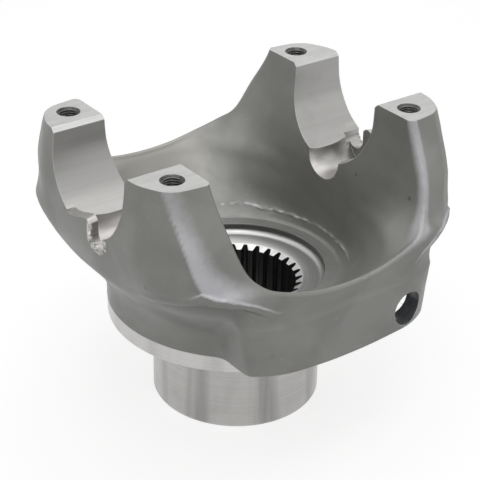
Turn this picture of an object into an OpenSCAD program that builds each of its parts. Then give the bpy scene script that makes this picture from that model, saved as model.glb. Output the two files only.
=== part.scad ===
// Half-round end yoke for a heavy driveline: one steel forging with a splined
// hub, a turned sealing journal, an open bowl and two ears. Each ear carries a
// half-round seat for a bearing cap between two tapped tips.
// Frame: origin at the middle of the hub's flat end, Z up through the spline,
// X along the axis of the two bearing seats.

/* [Ears and bearing seats] */
// Height of the tapped tip faces above the hub's flat end
tip_z = 151; // [149:0.5:153]
// Height of the axis of the bearing seats
seat_z = 141; // [139:0.5:142]
// Radius of the half-round bearing seats
seat_r = 30; // [28:0.25:31]
// Break on the long edges of each seat at the tip faces
seat_break = 2; // [1:0.25:3]
// Distance from the hub axis to the inner face of the retaining lips
lip_x = 80; // [78:0.5:82]
// Height of the highest point of the retaining lips
lip_z = 121.5; // [118:0.1:123]
// Width of the notch beside each retaining lip
notch_w = 10.7; // [8:0.5:12]
// Height of the bottom of the notch
notch_z = 107; // [106:0.5:108]
// Radius of the trough under each seat
trough_r = 9.4; // [8:0.2:10]
// Height of the centre line of that trough
trough_z = 113; // [112:0.5:114]

/* [Tapped tips] */
// Distance between the tapped holes along the seat axis
hole_pitch_x = 133.6; // [130:0.2:136]
// Distance between the tapped holes across a seat
hole_pitch_y = 86; // [84:0.5:88]
// Core radius of the tapped holes
hole_r = 4.4; // [4.2:0.1:5.2]
// Radius of the countersinks
countersink_r = 5.6; // [5.4:0.1:6]
// Depth of the tapped holes
hole_depth = 28; // [20:1:30]

/* [Hub and bore] */
// Radius of the ground sealing journal
journal_r = 41.8; // [40:0.1:43]
// Height of the shoulder above the journal
shoulder_z = 46.6; // [44:0.1:48]
// Radius of the turned band above the shoulder
band_r = 64; // [62:0.1:64.5]
// Height of the upper edge of the turned band
band_z = 55.5; // [54:0.1:57]
// Number of spline teeth
teeth = 31; // [27:1:36]
// Radius at the bottom of the spaces between the teeth
spline_major_r = 32.2; // [31:0.1:33]
// Radius at the tips of the teeth
spline_minor_r = 29.2; // [28:0.1:30]
// Height of the upper end of the spline
spline_z = 61.8; // [60:0.1:63]
// Radius of the counterbore for the nut
counterbore_r = 43; // [41:0.1:44]
// Height of the bowl's floor beside the counterbore
floor_z = 67.8; // [67:0.1:69]
// Offset of the forged skin from the machining centre along the seats
skin_x = 0.9; // [0:0.1:1.5]
// Offset of the forged skin towards the front
skin_y = -0.7; // [-1.5:0.1:0]

/* [Side lug] */
// Distance from the middle of the forging to the flat faces of the lugs
lug_y = 85.3; // [84:0.1:87]
// Rise of the turned underside for each millimetre away from the band
underside_slope = 0.295; // [0.2:0.005:0.35]
// Radius of the drilling near the edge of the front lug
drill_r = 8.4; // [7:0.1:8.8]
// Distance of the drilling from the middle of the lug
drill_x = 36; // [34:0.5:38]
// Height of the drilling
drill_z = 73.2; // [73:0.1:76]
// Radius of the facing behind the drilling
back_face_r = 17.3; // [12:0.1:18]
// Thickness of the lug at the drilling
drill_wall = 11.5; // [9:0.5:14]

/* [Hidden] */

// Angles round a quarter of the bowl, closer together where the lug ends
QUARTER = concat([0, 8, 16, 24, 31, 37], [for (t = [41:1.8:61]) t], [65, 71, 77, 83.5, 90]);
// Heights of the outer surface under the ears, then the steps up to the crest
LOW_Z = [50, 55, 59, 63, 67, 71, 75, 79, 83, 87, 91];
HIGH_STEPS = 11;
// Steps of the inside from the crest down to the first fixed height, then the fixed heights
INNER_STEPS = 7;
BOWL_Z = [96.5, 92, 87.5, 83, 79, 75, 72, 69.8, 68.4];
// Wall thickness at the crest of the rim and up the edges of the ears
CREST_W = 3.4;
// Height to which the ears are forged before the tips are milled
FORGED_Z = tip_z + 4;
// Radii where the bowl's floor and the underside of the forging stop
FLOOR_R = 40;

// Forged outside as squared ovals: height, half width, half depth, squareness
OUTER = [
    [48, 65.3, 65.3, 2.0],
    [64, 65.6, 65.6, 2.0],
    [70, 66.8, 68.0, 2.05],
    [76, 69.6, 74.0, 2.15],
    [84, 75.8, 80.5, 2.35],
    [91, 81.4, 83.5, 2.7],
    [98, 83.7, 84.2, 3.3],
    [105, 85.1, 82.5, 3.9],
    [112, 85.4, 77.2, 4.2],
    [118, 85.3, 74.8, 4.4],
    [126, 85.2, 70.9, 4.9],
    [136, 84.6, 63.7, 6.0],
    [144, 83.8, 58.3, 7.0],
    [151, 83.2, 55.0, 8.0],
    [158, 82.8, 53.5, 8.6]
];
// Forged inside of the bowl: height, half width, half depth, squareness
INNER = [
    [67.6, 47.5, 48.5, 2.0],
    [70, 49.2, 53.0, 2.0],
    [75, 50.2, 59.5, 2.1],
    [80, 50.4, 65.0, 2.2],
    [86, 50.5, 70.5, 2.3],
    [92, 50.6, 76.0, 2.45],
    [98, 50.6, 82.3, 2.6],
    [102, 50.7, 91.5, 2.75],
    [107, 50.8, 115, 2.9],
    [117, 52.0, 130, 4.2],
    [126, 53.6, 135, 5.0],
    [141, 55.6, 140, 5.2],
    [158, 56.4, 145, 5.2]
];
// Outline of the lugs: lean of the end faces, half width at the hub axis,
// its growth with height, start of the bow near the ends, its strength at the bottom and the loss
// and floor of that strength with height, and sharpness of the corners
LUG_LEAN = 0.2;
LUG_HALF = 36;
LUG_SPREAD = 0.2;
LUG_BOW_X = 30;
LUG_BOW = 0.0175;
LUG_BOW_LOSS = 0.0002;
LUG_BOW_MIN = 0.0125;
LUG_SHARP = 36;
// Width over which the lugs blend into the neck and the ears
BLEND = 7;

// Value in column c of a table at height z, eased from row to row
function slope(t, i, c) =
    i == 0 ? (t[1][c] - t[0][c]) / (t[1][0] - t[0][0]) :
    i == len(t) - 1 ? (t[i][c] - t[i - 1][c]) / (t[i][0] - t[i - 1][0]) :
    (t[i + 1][c] - t[i - 1][c]) / (t[i + 1][0] - t[i - 1][0]);
function row(t, z, i = 0) = i >= len(t) - 2 || z < t[i + 1][0] ? i : row(t, z, i + 1);
function ease(t, z, c) =
    let (i = row(t, z), h = t[i + 1][0] - t[i][0], s = min(1, max(0, (z - t[i][0]) / h)))
    (2 * s * s * s - 3 * s * s + 1) * t[i][c] + (s * s * s - 2 * s * s + s) * h * slope(t, i, c)
    + (3 * s * s - 2 * s * s * s) * t[i + 1][c] + (s * s * s - s * s) * h * slope(t, i + 1, c);

// Radius of a squared oval in direction a
function oval(a, hx, hy, n) = pow(pow(abs(cos(a)) / hx, n) + pow(abs(sin(a)) / hy, n), -1 / n);
// Larger of two radii, with a fillet where they cross
function blend_max(p, q, k) = let (h = max(k - abs(p - q), 0) / k) max(p, q) + h * h * k / 4;

// Radius of a flat face at distance h that bows in by w beyond LUG_BOW_X
function bowed(c, s, h, w) =
    c * h < LUG_BOW_X * s ? h / s :
    let (b = s - 2 * w * LUG_BOW_X * c, k = w * LUG_BOW_X * LUG_BOW_X - h)
    -2 * k / (b + sqrt(b * b - 4 * w * c * c * k));
// Radius of the lug in direction a at height z: the flat face leans in above 88
function lug_r(a, z) =
    let (c = abs(cos(a)), s = abs(sin(a)),
         end = (LUG_HALF + LUG_SPREAD * (z - 62)) / max(c - LUG_LEAN * s, 0.01),
         face = bowed(c, s, lug_y - max(0, z - 88) * 0.55,
             max(LUG_BOW_MIN, LUG_BOW - LUG_BOW_LOSS * (z - 66))))
    s < 0.3 ? 0 : pow(pow(1 / end, LUG_SHARP) + pow(1 / face, LUG_SHARP), -1 / LUG_SHARP);
function ear_r(a, z) = oval(a, ease(OUTER, z, 1), ease(OUTER, z, 2), ease(OUTER, z, 3));
function outer_r(a, z) =
    z > 104 ? ear_r(a, z) :
    blend_max(ear_r(a, z), lug_r(a, z), BLEND * min(1, (104 - z) / 10, 2.2 * abs(cos(a))) + 0.01);
function inner_r(a, z) = oval(a, ease(INNER, z, 1), ease(INNER, z, 2), ease(INNER, z, 3));

// Height at which the inside meets the outside, found by halving the span
function crest_z(a, lo = 92, hi = FORGED_Z, k = 16) =
    k == 0 ? lo :
    let (m = (lo + hi) / 2)
    outer_r(a, m) - inner_r(a, m) > CREST_W ? crest_z(a, m, hi, k - 1) : crest_z(a, lo, m, k - 1);

// One section of the forging in direction a: outside, crest, inside and floor
function section(a) =
    let (zc = crest_z(a), ro = outer_r(a, zc), ri = inner_r(a, zc), top = LOW_Z[len(LOW_Z) - 1])
    concat(
        [for (z = LOW_Z) [outer_r(a, z), z]],
        [for (i = [1:HIGH_STEPS]) let (z = top + (zc - top) * i / HIGH_STEPS) [outer_r(a, z), z]],
        [[ro - (ro - ri) * 0.2, zc + (ro - ri) * 0.25], [ri + (ro - ri) * 0.2, zc + (ro - ri) * 0.25]],
        [for (i = [INNER_STEPS:-1:1]) let (z = BOWL_Z[0] + (zc - BOWL_Z[0]) * pow(i / INNER_STEPS, 1.5)) [inner_r(a, z), z]],
        [for (z = BOWL_Z) [inner_r(a, z), z]],
        [[FLOOR_R + 5, floor_z], [FLOOR_R, floor_z], [FLOOR_R, LOW_Z[0]]]);

// Directions all round, mirrored from the quarter
AROUND = concat(QUARTER, [for (i = [len(QUARTER) - 2:-1:0]) 180 - QUARTER[i]],
    [for (i = [1:len(QUARTER) - 1]) 180 + QUARTER[i]], [for (i = [len(QUARTER) - 2:-1:1]) 360 - QUARTER[i]]);

// The forging as one closed skin through all sections
module forging() {
    sections = [for (a = AROUND) section(a)];
    m = len(AROUND);
    n = len(sections[0]);
    points = [for (i = [0:m - 1]) for (p = sections[i]) [p[0] * cos(AROUND[i]), p[0] * sin(AROUND[i]), p[1]]];
    faces = [for (i = [0:m - 1]) for (j = [0:n - 1])
        let (a = i * n + j, b = i * n + (j + 1) % n, c = ((i + 1) % m) * n + (j + 1) % n, d = ((i + 1) % m) * n + j)
        for (f = [[a, b, c], [a, c, d]]) f];
    polyhedron(points, faces);
}

// Hub with its broken lower edge, and the stock for the turned band
module hub() {
    rotate_extrude($fn = 96) polygon([[0, 0], [journal_r - 1.8, 0], [journal_r, 1.8], [journal_r, 50],
        [FLOOR_R + 5, 50], [FLOOR_R + 5, floor_z - 1.5], [0, floor_z - 1.5]]);
    translate([0, 0, shoulder_z]) cylinder(r = band_r + 3, h = 6, $fn = 96);
}

// Turning of the band, its lower edge and the sloping underside of the lugs
module turned_underside() {
    reach = 60;
    rotate_extrude($fn = 96) polygon([[band_r - 1, 40], [band_r - 1, shoulder_z], [band_r, shoulder_z + 1],
        [band_r, band_z], [band_r + reach, band_z + reach * underside_slope], [band_r + reach, 40]]);
}

// Half-round seats along X, open at the top, with lips left at the outer ends
module seat_cut() {
    difference() {
        union() {
            translate([-100, 0, seat_z]) rotate([0, 90, 0]) cylinder(r = seat_r, h = 200, $fn = 96);
            translate([-100, 0, 0]) rotate([90, 0, 90]) linear_extrude(height = 200)
                polygon([[-seat_r, seat_z], [seat_r, seat_z], [seat_r, tip_z - seat_break],
                    [seat_r + seat_break + 4, tip_z + 4], [-seat_r - seat_break - 4, tip_z + 4],
                    [-seat_r, tip_z - seat_break]]);
        }
        for (t = [0, 180]) rotate(t) translate([lip_x, 0, 0]) rotate([90, 0, 90]) linear_extrude(height = 40)
            polygon([[3.2, 100], [3.2, lip_z - 2], [-1, lip_z], [-8, lip_z - 1.6], [-14, lip_z - 4.4],
                [-19, lip_z - 9], [-19, 100]]);
    }
}

// Trough under a seat, flared at the outer end, and the notch through the lip
module trough_cut() {
    translate([0, 0, trough_z]) rotate([0, 90, 0]) {
        cylinder(r = trough_r, h = lip_x, $fn = 64);
        translate([0, 0, lip_x - 14]) cylinder(r1 = trough_r - 0.6, r2 = trough_r + 4, h = 14, $fn = 64);
    }
    translate([lip_x - 4, 3, 0]) {
        translate([0, notch_w / 2, notch_z + notch_w / 2]) rotate([0, 90, 0])
            cylinder(r = notch_w / 2, h = 20, $fn = 48);
        translate([0, 0, notch_z + notch_w / 2]) cube([20, notch_w, 12]);
    }
}

// A tapped hole with its countersink, bottom first
module tapped_hole() {
    translate([0, 0, tip_z - hole_depth]) cylinder(r = hole_r, h = hole_depth + 10, $fn = 48);
    sink = countersink_r - hole_r;
    translate([0, 0, tip_z - sink]) cylinder(r1 = hole_r, r2 = countersink_r + sink, h = 2 * sink, $fn = 48);
}

// Outline of the spline: a trapezoid space between each pair of teeth
function spline_points() =
    let (p = 360 / teeth)
    [for (i = [0:teeth - 1]) for (q = [[-0.36, 0], [-0.17, 1], [0.17, 1], [0.36, 0]])
        let (r = q[1] == 0 ? spline_minor_r : spline_major_r, a = p * (i + q[0]))
        [r * cos(a), r * sin(a)]];

// Splined bore with a chamfer at each end, and the dished counterbore
module bore_cut() {
    phase = 46.2;
    rotate(phase) translate([0, 0, -5]) linear_extrude(height = spline_z + 8) polygon(spline_points());
    rotate_extrude($fn = 96) polygon([[0, floor_z + 12], [counterbore_r, floor_z + 12],
        [counterbore_r, spline_z + 3.2], [counterbore_r - 1, spline_z + 2.2], [spline_major_r + 1.6, spline_z + 0.4],
        [spline_minor_r - 0.2, spline_z - 2], [0, spline_z - 2]]);
    translate([0, 0, -1]) cylinder(r1 = spline_major_r + 1.6, r2 = spline_minor_r - 1, h = 3.4, $fn = 96);
}

// Drilling through the front lug near its end, faced from behind
module drilling() {
    translate([drill_x, -lug_y - 10, drill_z]) rotate([-90, 0, 0]) cylinder(r = drill_r, h = 34, $fn = 64);
    translate([drill_x, skin_y - lug_y + drill_wall, drill_z]) rotate([-90, 0, 0]) cylinder(r = back_face_r, h = 13, $fn = 64);
}

module yoke() {
    color([0.62, 0.62, 0.6]) difference() {
        union() {
            translate([skin_x, skin_y, 0]) forging();
            hub();
        }
        turned_underside();
        translate([-120, -120, tip_z]) cube([240, 240, 20]);
        seat_cut();
        trough_cut();
        rotate(180) trough_cut();
        for (x = [-1, 1]) for (y = [-1, 1]) translate([x * hole_pitch_x / 2, y * hole_pitch_y / 2, 0]) tapped_hole();
        bore_cut();
        drilling();
    }
}

yoke();
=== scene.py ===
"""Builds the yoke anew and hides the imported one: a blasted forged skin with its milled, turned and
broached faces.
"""
import math

import bmesh
import bpy
import numpy as np
from mathutils import Matrix


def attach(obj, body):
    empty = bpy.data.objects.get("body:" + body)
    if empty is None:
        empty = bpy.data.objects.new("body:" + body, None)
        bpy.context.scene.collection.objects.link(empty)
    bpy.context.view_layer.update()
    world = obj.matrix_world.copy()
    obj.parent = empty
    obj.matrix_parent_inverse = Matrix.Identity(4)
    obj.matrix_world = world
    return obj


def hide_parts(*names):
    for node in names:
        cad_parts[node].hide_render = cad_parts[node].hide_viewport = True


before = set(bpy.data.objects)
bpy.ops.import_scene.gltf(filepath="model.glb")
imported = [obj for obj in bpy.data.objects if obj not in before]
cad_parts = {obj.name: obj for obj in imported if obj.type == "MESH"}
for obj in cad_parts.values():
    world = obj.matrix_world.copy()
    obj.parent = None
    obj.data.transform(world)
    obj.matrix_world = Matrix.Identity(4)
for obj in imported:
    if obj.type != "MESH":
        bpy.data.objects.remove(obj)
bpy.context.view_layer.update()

# Metres in a millimetre: shapes are in millimetres in the CAD model's frame, materials and lamps in metres
MM = 0.001
# Profiles end this far off the axis that they are turned round, so that no face has zero width
AXIS_R = 0.05

# Tips of the ears, and the half-round seats with their broken edges and end lips
TIP_Z = 151.0
SEAT_Z = 141.0
SEAT_R = 30.0
SEAT_BREAK = 2.0
LIP_X = 80.0
LIP_SLOPE = 1.2
TROUGH_Z = 113.0

# Notch beside each lip, and the points along its torn rim: down the lip side, then round the foot
NOTCH_Y = 3.0
NOTCH_W = 10.7
NOTCH_Z = 107.0
RIM_TOP_Z = 117.6
RIM_STRAIGHT = 8
RIM_ROUND = 46
BEAD_SIDES = 6

# Tapped holes
HOLE_X = 66.8
HOLE_Y = 43.0
CORE_R = 4.4
SINK_R = 5.6
HOLE_DEPTH = 28.0
HOLE_POINT = 2.6
THREAD_PITCH = 1.25
THREAD_HEIGHT = 0.6
THREAD_DEPTH = 11.0

# Hub: journal, shoulder, turned band, and the rise of the sloping underside outside it
JOURNAL_R = 41.8
SHOULDER_Z = 46.6
BAND_R = 64.0
BAND_Z = 55.5
SLOPE = 0.295

# Splined bore, where one space lies at a direction in degrees, and the counterbore in the bowl's floor
TEETH = 31
SPACE_AT = 46.2
MAJOR_R = 32.2
MINOR_R = 29.2
SPLINE_Z = 61.8
RECESS_R = 43.0
FLOOR_Z = 67.8

# Forged skin: offset from the machining centre, foot inside the hub, start of the spread rows, crest's width
SKIN = np.array([0.9, -0.7, 0.0])
FOOT_Z = 50
SPREAD_Z = 94
CREST_W = 3.4

# Lugs: flat face, half its straight length, the leaning ends, and the slope above the flat
LUG_Y = 85.3
LUG_FLAT = 30.0
LUG_END = 36.0
LUG_END_Z = 62
LUG_LEAN = 0.2
LUG_TOP_Z = 88
LUG_SLOPE = 0.55
LUG_GONE_Z = 104

# Drilling through the front lug, and the facing behind it
DRILL_R = 8.4
DRILL_X = 36.0
DRILL_Z = 73.2
DRILL_WALL = 11.5
BACK_R = 14.5
BACK_X = 39.0
BACK_Z = 68.5
FACING_DEPTH = 13.0

# Height, half width, half depth and squareness of the forged outside and inside
OUTER = np.array([
    [48, 65.3, 65.3, 2.0], [64, 65.6, 65.6, 2.0], [70, 66.8, 68.0, 2.05], [76, 69.6, 74.0, 2.15],
    [84, 75.8, 80.5, 2.35], [91, 81.4, 83.5, 2.7], [98, 83.7, 84.2, 3.3], [105, 85.1, 82.5, 3.9],
    [112, 85.4, 77.2, 4.2], [118, 85.3, 74.8, 4.4], [126, 85.2, 70.9, 4.9], [136, 84.6, 63.7, 6.0],
    [144, 83.8, 58.3, 7.0], [151, 83.2, 55.0, 8.0], [158, 82.8, 53.5, 8.6]])
INNER = np.array([
    [67.6, 47.5, 48.5, 2.0], [70, 49.2, 53.0, 2.0], [75, 50.2, 59.5, 2.1], [80, 50.4, 65.0, 2.2],
    [86, 50.5, 70.5, 2.3], [92, 50.6, 76.0, 2.45], [98, 50.6, 82.3, 2.6], [102, 50.7, 91.5, 2.75],
    [107, 50.8, 115, 2.9], [117, 52.0, 130, 4.2], [126, 53.6, 135, 5.0], [141, 55.6, 140, 5.2],
    [158, 56.4, 145, 5.2]])
# Flat strip down the outer corner of each ear: height, then x and y of both of its edges
STRIP = np.array([
    [104, 68.7, 71.4, 59.8, 75.9], [110.8, 71.6, 68.4, 63.1, 72.7], [116, 73.0, 65.6, 65.2, 70.5],
    [125.5, 74.8, 62.3, 68.6, 66.5], [138, 76.8, 55.7, 70.4, 59.5], [148, 77.8, 50.2, 72.1, 54.7],
    [158, 78.2, 45.4, 73.3, 49.6]])
# Directions that the strip faces, and the flats on both sides of it: by the ear's side and by its end
STRIP_TURN = math.radians(56)
SIDE_TURN = math.radians(27)
END_TURN = math.radians(79)
# Trimmed flash line round the outside: direction in degrees from the seat axis, height
FLASH = np.array([
    [0, 94.5], [15, 95.5], [24, 97.5], [32, 101.0], [38.5, 104.5], [44, 107.8], [48.4, 106.6], [54.4, 103.8],
    [58.9, 100.6], [63.4, 96.3], [70.9, 91.4], [81.8, 87.8], [90, 86.9]])
# Bell of the trough under a seat: distance from the hub axis, radius
BELL = np.array([
    [30, AXIS_R], [48.5, 13.0], [50.5, 12.2], [52, 11.4], [53.6, 10.6], [55.5, 9.9], [58, 9.5], [60, 9.4],
    [65, 9.4], [69, 9.8], [73.5, 10.8], [77.5, 12.2], [80, 13.4], [80, AXIS_R]])
# Top of the right ear's lip seen along the seats: across, height. It falls to the notch at NOTCH_Y
LIP = np.array([
    [-16.9, 116.2], [-15.6, 116.3], [-14, 116.2], [-12, 116.6], [-9.3, 117.3], [-7.2, 117.9], [-5.7, 118.6],
    [-3, 119.2], [-0.9, 120.1], [0.8, 120.0], [1.8, 119.5], [NOTCH_Y, 118.2], [NOTCH_Y + 0.01, 116.4],
    [8, 112.5], [13.6, 114.2]])


def smooth(x, a, b):
    """Rises from 0 at a to 1 at b with level ends: three squares less two cubes."""
    t = np.clip((x - a) / (b - a), 0, 1)
    return t * t * (3 - 2 * t)


def eased(table, z, column):
    """Cubic curve through a column of the table: each row's slope is the chord of its neighbours."""
    x = table[:, 0]
    y = table[:, column]
    slope = np.empty_like(y)
    slope[1:-1] = (y[2:] - y[:-2]) / (x[2:] - x[:-2])
    slope[0] = (y[1] - y[0]) / (x[1] - x[0])
    slope[-1] = (y[-1] - y[-2]) / (x[-1] - x[-2])
    i = np.clip(np.searchsorted(x, z, side="right") - 1, 0, len(x) - 2)
    h = x[i + 1] - x[i]
    s = np.clip((z - x[i]) / h, 0, 1)
    return ((2 * s**3 - 3 * s**2 + 1) * y[i] + (s**3 - 2 * s**2 + s) * h * slope[i]
            + (3 * s**2 - 2 * s**3) * y[i + 1] + (s**3 - s**2) * h * slope[i + 1])


def oval(table, angle, z, square=1.0):
    """Radius of a squared oval: powers of cosine over width and of sine over depth add up to one."""
    n = eased(table, z, 3) * square
    across = np.abs(np.cos(angle)) / eased(table, z, 1)
    deep = np.abs(np.sin(angle)) / eased(table, z, 2)
    return (across**n + deep**n) ** (-1 / n)


def round_min(p, q, width):
    """Smaller of two radii, with a fillet where they cross: less a quarter width times nearness squared."""
    nearness = np.maximum(width - np.abs(p - q), 0) / width
    return np.minimum(p, q) - nearness * nearness * width / 4


def round_max(p, q, width):
    """Larger of two radii, with the same fillet."""
    return -round_min(-p, -q, width)


def folded(angle):
    """Direction folded into the first quarter, in radians."""
    return np.arctan2(np.abs(np.sin(angle)), np.abs(np.cos(angle)))


def strip_edges(z):
    """x and y of the corner strip's edges at a height: the one nearer the seats' axis, then the other."""
    return [eased(STRIP, z, column) for column in (1, 2, 3, 4)]


def ear(angle, z):
    """An ear's outside: an oval that higher up is cut by a corner strip and a flat on each side of it.

    A flat's radius is its reach over the cosine of the turn away from it. The flats come in over a rise,
    which is longer near the seats' axis.
    """
    plain = oval(OUTER, angle, z)
    a = folded(angle)
    side_x, side_y, end_x, end_y = strip_edges(z)
    soft, crisp = 2.4, 0.25
    flats = ((SIDE_TURN, side_x, side_y, soft), (END_TURN, end_x, end_y, soft),
             (STRIP_TURN, (side_x + end_x) / 2, (side_y + end_y) / 2, crisp))
    cut = oval(OUTER, angle, z, 1.5)
    for turn, x, y, width in flats:
        reach = x * math.cos(turn) + y * math.sin(turn)
        cut = round_min(cut, reach / np.maximum(np.cos(a - turn), 0.05), width)
    full = 111 + 11 * (1 - smooth(np.degrees(a), 37, 44))
    return plain + (cut - plain) * smooth(z, 105, full)


def lug(angle, z):
    """Radius of a lug: a flat that bows in near its ends, met by leaning end faces at a tight corner.

    The bow is a parabola past the flat, solved for the radius. End and face are joined by a sum of high
    powers of their inverses, which stays close to the smaller one.
    """
    c = np.abs(np.cos(angle))
    s = np.maximum(np.abs(np.sin(angle)), 1e-6)
    end = (LUG_END + LUG_LEAN * (z - LUG_END_Z)) / np.maximum(c - LUG_LEAN * s, 0.01)
    flat = LUG_Y - np.maximum(0, z - LUG_TOP_Z) * LUG_SLOPE
    bow = np.maximum(0.0125, 0.0175 - 0.0002 * (z - 66))
    b = s - 2 * bow * LUG_FLAT * c
    k = bow * LUG_FLAT**2 - flat
    bowed = -2 * k / (b + np.sqrt(np.maximum(b * b - 4 * bow * c * c * k, 0)))
    face = np.where(c * flat < LUG_FLAT * s, flat / s, bowed)
    sharp = 40
    return np.where(s < 0.3, 0, (end**-sharp + face**-sharp) ** (-1 / sharp))


def outside(angle, z):
    """The larger of ear and lug, with a fillet where they cross, which fades out above the lug."""
    plain = ear(angle, z)
    fade = np.clip(np.minimum((LUG_GONE_Z - z) / 10, 2.2 * np.abs(np.cos(angle))), 0, 1)
    return np.where(z > LUG_GONE_Z, plain, round_max(plain, lug(angle, z), 6.5 * fade + 0.01))


def inside(angle, z):
    """Radius of the bowl's squared oval."""
    return oval(INNER, angle, z)


def crest_height(angle):
    """Height where inside and outside come within the crest's width, found by halving the span."""
    low = np.full_like(angle, SPREAD_Z - 2)
    high = np.full_like(angle, TIP_Z + 4)
    halvings = 30
    for _ in range(halvings):
        mid = (low + high) / 2
        open_wall = outside(angle, mid) - inside(angle, mid) > CREST_W
        low = np.where(open_wall, mid, low)
        high = np.where(open_wall, high, mid)
    return low


def waves(points, seed, size):
    """Smooth random swell between about -1 and 1: a sum of 18 cosine waves in random directions."""
    count = 18
    rng = np.random.default_rng(seed)
    way = rng.normal(size=(count, 3))
    way /= np.linalg.norm(way, axis=1)[:, None]
    way *= (2 * math.pi / size) * rng.uniform(0.6, 1.5, (count, 1))
    shift = rng.uniform(0, 2 * math.pi, count)
    return np.cos(points @ way.T + shift).sum(-1) * math.sqrt(2 / count) * 0.6


def flash_line(angle, points):
    """Height of the trimmed flash: its table over the folded direction, with a slow waver."""
    return np.interp(np.degrees(folded(angle)), FLASH[:, 0], FLASH[:, 1]) + 0.45 * waves(points, 31, 9)


def far_left(angle):
    """1 at the far left corner, where the flash was trimmed flush, and less in a bell curve to its sides."""
    return np.exp(-((np.degrees(np.arctan2(np.sin(angle), np.cos(angle))) - 142) / 22) ** 2)


def bowl_line(points):
    """Height of the ridge in the bowl, which wavers slowly and is ragged close by."""
    return 73.5 + 0.8 * waves(points, 33, 24) + 0.3 * waves(points, 34, 5)


def flash_step(angle, z, points):
    """Trimmed flash: a strip stands proud under a ragged line, and the skin below it is drawn in.

    Strip, lip and hollow are soft ramps and a bell curve of the depth below the line.
    """
    turn = np.degrees(folded(angle))
    below = flash_line(angle, points) - z
    corner = smooth(turn, 18, 36) * (1 - smooth(turn, 60, 74)) * (1 - 0.8 * far_left(angle))
    strip = smooth(below, -0.5, 0.4) * (1 - smooth(below, 3.2, 4.6))
    lip = np.exp(-((below - 0.3) / 0.6) ** 2) * np.clip(0.5 + 0.8 * waves(points, 32, 6), 0, 1)
    under = smooth(below, 3.2, 5.0) * np.exp(-np.maximum(below - 5.0, 0) / 11) * (1 - smooth(turn, 52, 62))
    return corner * (0.5 * strip + 0.35 * lip) - 1.5 * smooth(turn, 16, 30) * under


def bowl_flash(angle, z, points):
    """A thin ragged ridge low on the bowl's far wall, where the inner dies met: a bell curve over height."""
    turn = np.degrees(np.arctan2(np.sin(angle), np.cos(angle)))
    line = bowl_line(points)
    here = smooth(turn, -50, -25) * (1 - smooth(turn, 70, 100))
    ridge = np.exp(-((z - line) / 0.7) ** 2) * np.clip(0.6 + 0.7 * waves(points, 35, 4), 0, 1)
    step = 0.35 * smooth(line - z, -0.5, 0.8) * (1 - smooth(line - z, 2, 5))
    return here * (0.6 * ridge + step)


def grid_faces(rows, columns):
    """Quads of a grid that closes on itself both ways."""
    i, j = np.meshgrid(np.arange(rows), np.arange(columns), indexing="ij")
    a = i * columns + j
    b = i * columns + (j + 1) % columns
    c = (i + 1) % rows * columns + (j + 1) % columns
    d = (i + 1) % rows * columns + j
    return np.stack([a, b, c, d], -1).reshape(-1, 4)


def solid(name, points, faces):
    """A mesh object from points in millimetres and lists of corners."""
    mesh = bpy.data.meshes.new(name)
    mesh.from_pydata((np.asarray(points, float).reshape(-1, 3) * MM).tolist(), [], [list(f) for f in faces])
    mesh.validate()
    obj = bpy.data.objects.new(name, mesh)
    bpy.context.scene.collection.objects.link(obj)
    return obj


def turned(name, profile, steps=256, axis="z"):
    """A closed profile of radius and height carried round an axis: radius times cosine and times sine."""
    profile = np.asarray(profile, float)
    turn = np.linspace(0, 2 * math.pi, steps, endpoint=False)
    r, h = profile[:, 0], profile[:, 1]
    c, s = np.cos(turn)[:, None], np.sin(turn)[:, None]
    flat = np.stack([r * c, r * s, np.broadcast_to(h, (steps, len(h)))], -1)
    if axis == "x":
        flat = flat[..., [2, 0, 1]]
    if axis == "-y":
        flat = np.stack([flat[..., 0], flat[..., 2], -flat[..., 1]], -1)
    return solid(name, flat, grid_faces(steps, len(profile)))


def lofted(name, near, far, low, high, axis="x"):
    """Two closed outlines with as many points, at the ends of a straight run along an axis, closed flat."""
    n = len(near)
    ends = ((near, low), (far, high))
    points = np.concatenate([np.insert(np.asarray(outline, float), 0, at, axis=1) for outline, at in ends])
    if axis == "z":
        points = points[:, [1, 2, 0]]
    i = np.arange(n)
    sides = np.stack([i, (i + 1) % n, (i + 1) % n + n, i + n], -1).tolist()
    return solid(name, points, sides + [list(range(n))[::-1], list(range(n, 2 * n))])


def prism(name, outline, low, high, axis="x"):
    """A closed outline carried straight from low to high along an axis."""
    return lofted(name, outline, outline, low, high, axis)


def face_out(obj):
    """Turns every face of a closed solid outwards."""
    bm = bmesh.new()
    bm.from_mesh(obj.data)
    bmesh.ops.recalc_face_normals(bm, faces=bm.faces)
    bm.to_mesh(obj.data)
    bm.free()
    return obj


def combine(base, tool, how):
    """Joins or cuts base with a closed tool, keeps the result as base's mesh and drops the tool."""
    face_out(tool)
    step = base.modifiers.new("step", "BOOLEAN")
    step.operation = how
    step.solver = "MANIFOLD"
    step.object = tool
    bpy.context.view_layer.update()
    result = bpy.data.meshes.new_from_object(base.evaluated_get(bpy.context.evaluated_depsgraph_get()))
    base.modifiers.clear()
    old = base.data
    base.data = result
    bpy.data.meshes.remove(old)
    bpy.data.objects.remove(tool)


def cut(base, tool):
    """Cuts base with a closed tool."""
    combine(base, tool, "DIFFERENCE")


def moved(obj, x=0.0, y=0.0, z=0.0):
    """An object with its mesh moved by millimetres."""
    obj.data.transform(Matrix.Translation((x * MM, y * MM, z * MM)))
    return obj


def round_angles():
    """Directions all round, packed closely at the corners of the ears and lugs.

    Between each two stops in degrees lie a count of even steps, and the first quarter is mirrored.
    """
    stops = np.array([0, 14, 30, 38, 63, 74, 90.0])
    counts = [8, 11, 9, 42, 11, 11]
    parts = [np.linspace(a, b, n, endpoint=False) for a, b, n in zip(stops[:-1], stops[1:], counts)]
    q = np.radians(np.concatenate(parts + [[90.0]]))
    return np.unique(np.round(np.mod(np.concatenate([q, math.pi - q, math.pi + q, -q]), 2 * math.pi), 9))


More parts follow.
